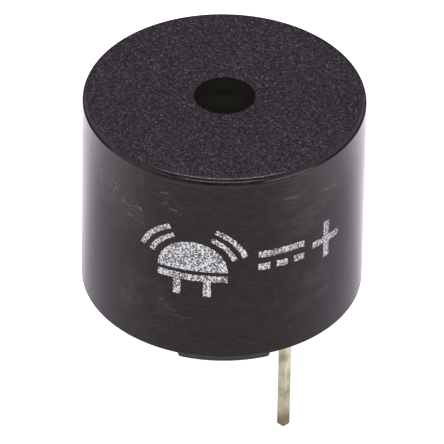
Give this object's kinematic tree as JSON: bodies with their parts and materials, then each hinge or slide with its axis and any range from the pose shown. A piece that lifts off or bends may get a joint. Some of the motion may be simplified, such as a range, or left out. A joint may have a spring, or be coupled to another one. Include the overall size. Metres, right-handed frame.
{
  "type": "magnetic buzzer",
  "caption": "Round black through-hole magnetic buzzer with its own drive circuit: moulded case with a central sound hole, sealed base with standoff feet, square tinned pins.",
  "frame": {"origin": "middle of the circuit-board plane that the feet stand on, half-way between the pins", "axes": "+Z along the case axis towards the sound hole, +X from the negative pin towards the positive pin, pins pointing along -Z"},
  "size_m": [0.012, 0.012, 0.0157],
  "materials": {
    "case_plastic": "black moulding: fine spark-eroded grain on the top, smooth satin side",
    "base_plastic": "black moulding, satin",
    "sealing_resin": "cured black-brown resin",
    "tinned_pin": "dull hot-dipped tin with a yellowish cast",
    "board_laminate": "green glass-epoxy laminate",
    "copper_foil": "copper foil",
    "solder": "bright solder",
    "chip_mould": "black moulding compound",
    "tinned_leg": "tin plated",
    "resistor_ceramic": "black glazed chip with tinned ends",
    "capacitor_ceramic": "tan chip with tinned ends",
    "yoke_iron": "zinc plated soft iron",
    "pole_iron": "turned soft iron",
    "drive_winding": "enamelled copper wire, wound",
    "sense_winding": "enamelled copper wire, wound, darker enamel",
    "enamelled_wire": "enamelled copper wire",
    "bonded_ferrite": "plastic-bonded ferrite, dark grey",
    "ring_plastic": "natural white moulding",
    "diaphragm_steel": "blued thin steel",
    "armature_iron": "blued soft iron"
  },
  "bodies": {
    "root": {"case": "case_plastic", "base_plate": "base_plastic", "edge_sealant": "sealing_resin", "positive_pin": "tinned_pin", "negative_pin": "tinned_pin", "circuit_board": "board_laminate", "board_copper": "copper_foil", "positive_pin_solder": "solder", "negative_pin_solder": "solder", "transistor": "chip_mould", "transistor_legs": "tinned_leg", "base_resistor": "resistor_ceramic", "timing_capacitor": "capacitor_ceramic", "clamp_diode": "chip_mould", "diode_tabs": "tinned_leg", "chip_solder": "solder", "yoke_plate": "yoke_iron", "pole_core": "pole_iron", "drive_coil": "drive_winding", "sense_coil": "sense_winding", "common_lead": "enamelled_wire", "drive_lead": "enamelled_wire", "sense_lead": "enamelled_wire", "lead_solder": "solder", "ring_magnet": "bonded_ferrite", "support_ring": "ring_plastic", "diaphragm": "diaphragm_steel", "armature_disc": "armature_iron"}
  },
  "joints": []
}
